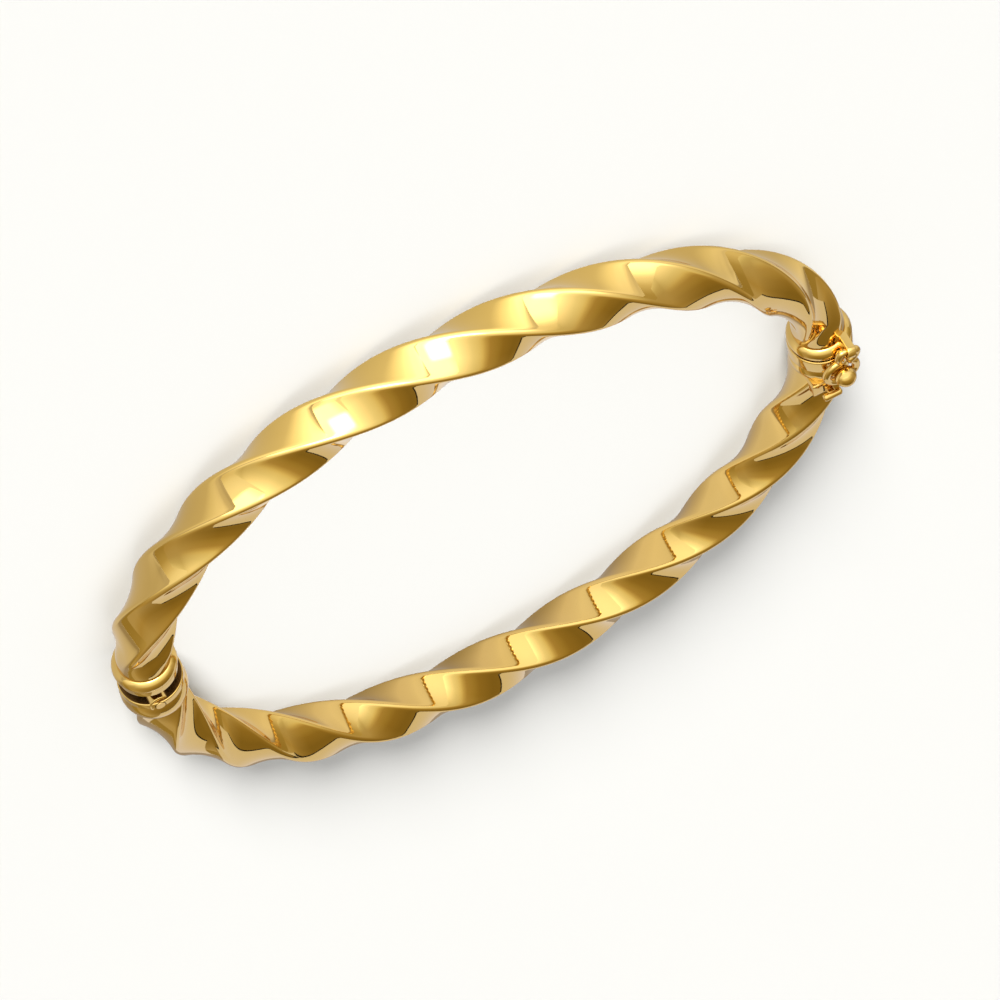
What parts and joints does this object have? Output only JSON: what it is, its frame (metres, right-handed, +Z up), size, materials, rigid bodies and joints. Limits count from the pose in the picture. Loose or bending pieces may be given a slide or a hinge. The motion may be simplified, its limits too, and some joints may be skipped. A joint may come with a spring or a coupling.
{
  "type": "twisted hinged bangle",
  "caption": "Oval bangle of twisted square gold tube in hinged halves, closed by a tongue clasp with a push button and a figure-of-eight safety catch over a ball.",
  "frame": {"origin": "on the floor, under the middle of the whole bangle's box, the bangle lying on its side", "axes": "+X from the hinge to the clasp, +Y towards the half that carries the safety catch's hinge, +Z up, out of the side that shows the ball"},
  "size_m": [0.0708, 0.0612, 0.0081],
  "materials": {
    "gold": "mirror-polished yellow gold"
  },
  "bodies": {
    "back": {"back_half": "gold", "hinge_pin": "gold"},
    "front": {"front_half": "gold", "tongue": "gold"},
    "catch": {"safety_catch": "gold"},
    "button": {"release_button": "gold"}
  },
  "joints": [
    {"name": "arm_hinge", "type": "hinge", "parent": "back", "child": "front", "pos_m": [-0.03274, 0.00099, 0.003], "axis": [0, 0, 1], "range_deg": [0, 22]},
    {"name": "catch_hinge", "type": "hinge", "parent": "front", "child": "catch", "pos_m": [0.03361, 0.00309, 0.00638], "axis": [-0.9537, 0.3007, 0], "range_deg": [0, 150]},
    {"name": "button_press", "type": "slide", "parent": "back", "child": "button", "axis": [0, 0, -1], "range_m": [0, 0.0004], "stiffness_N_per_m": 400, "springref_m": -0.0005}
  ]
}
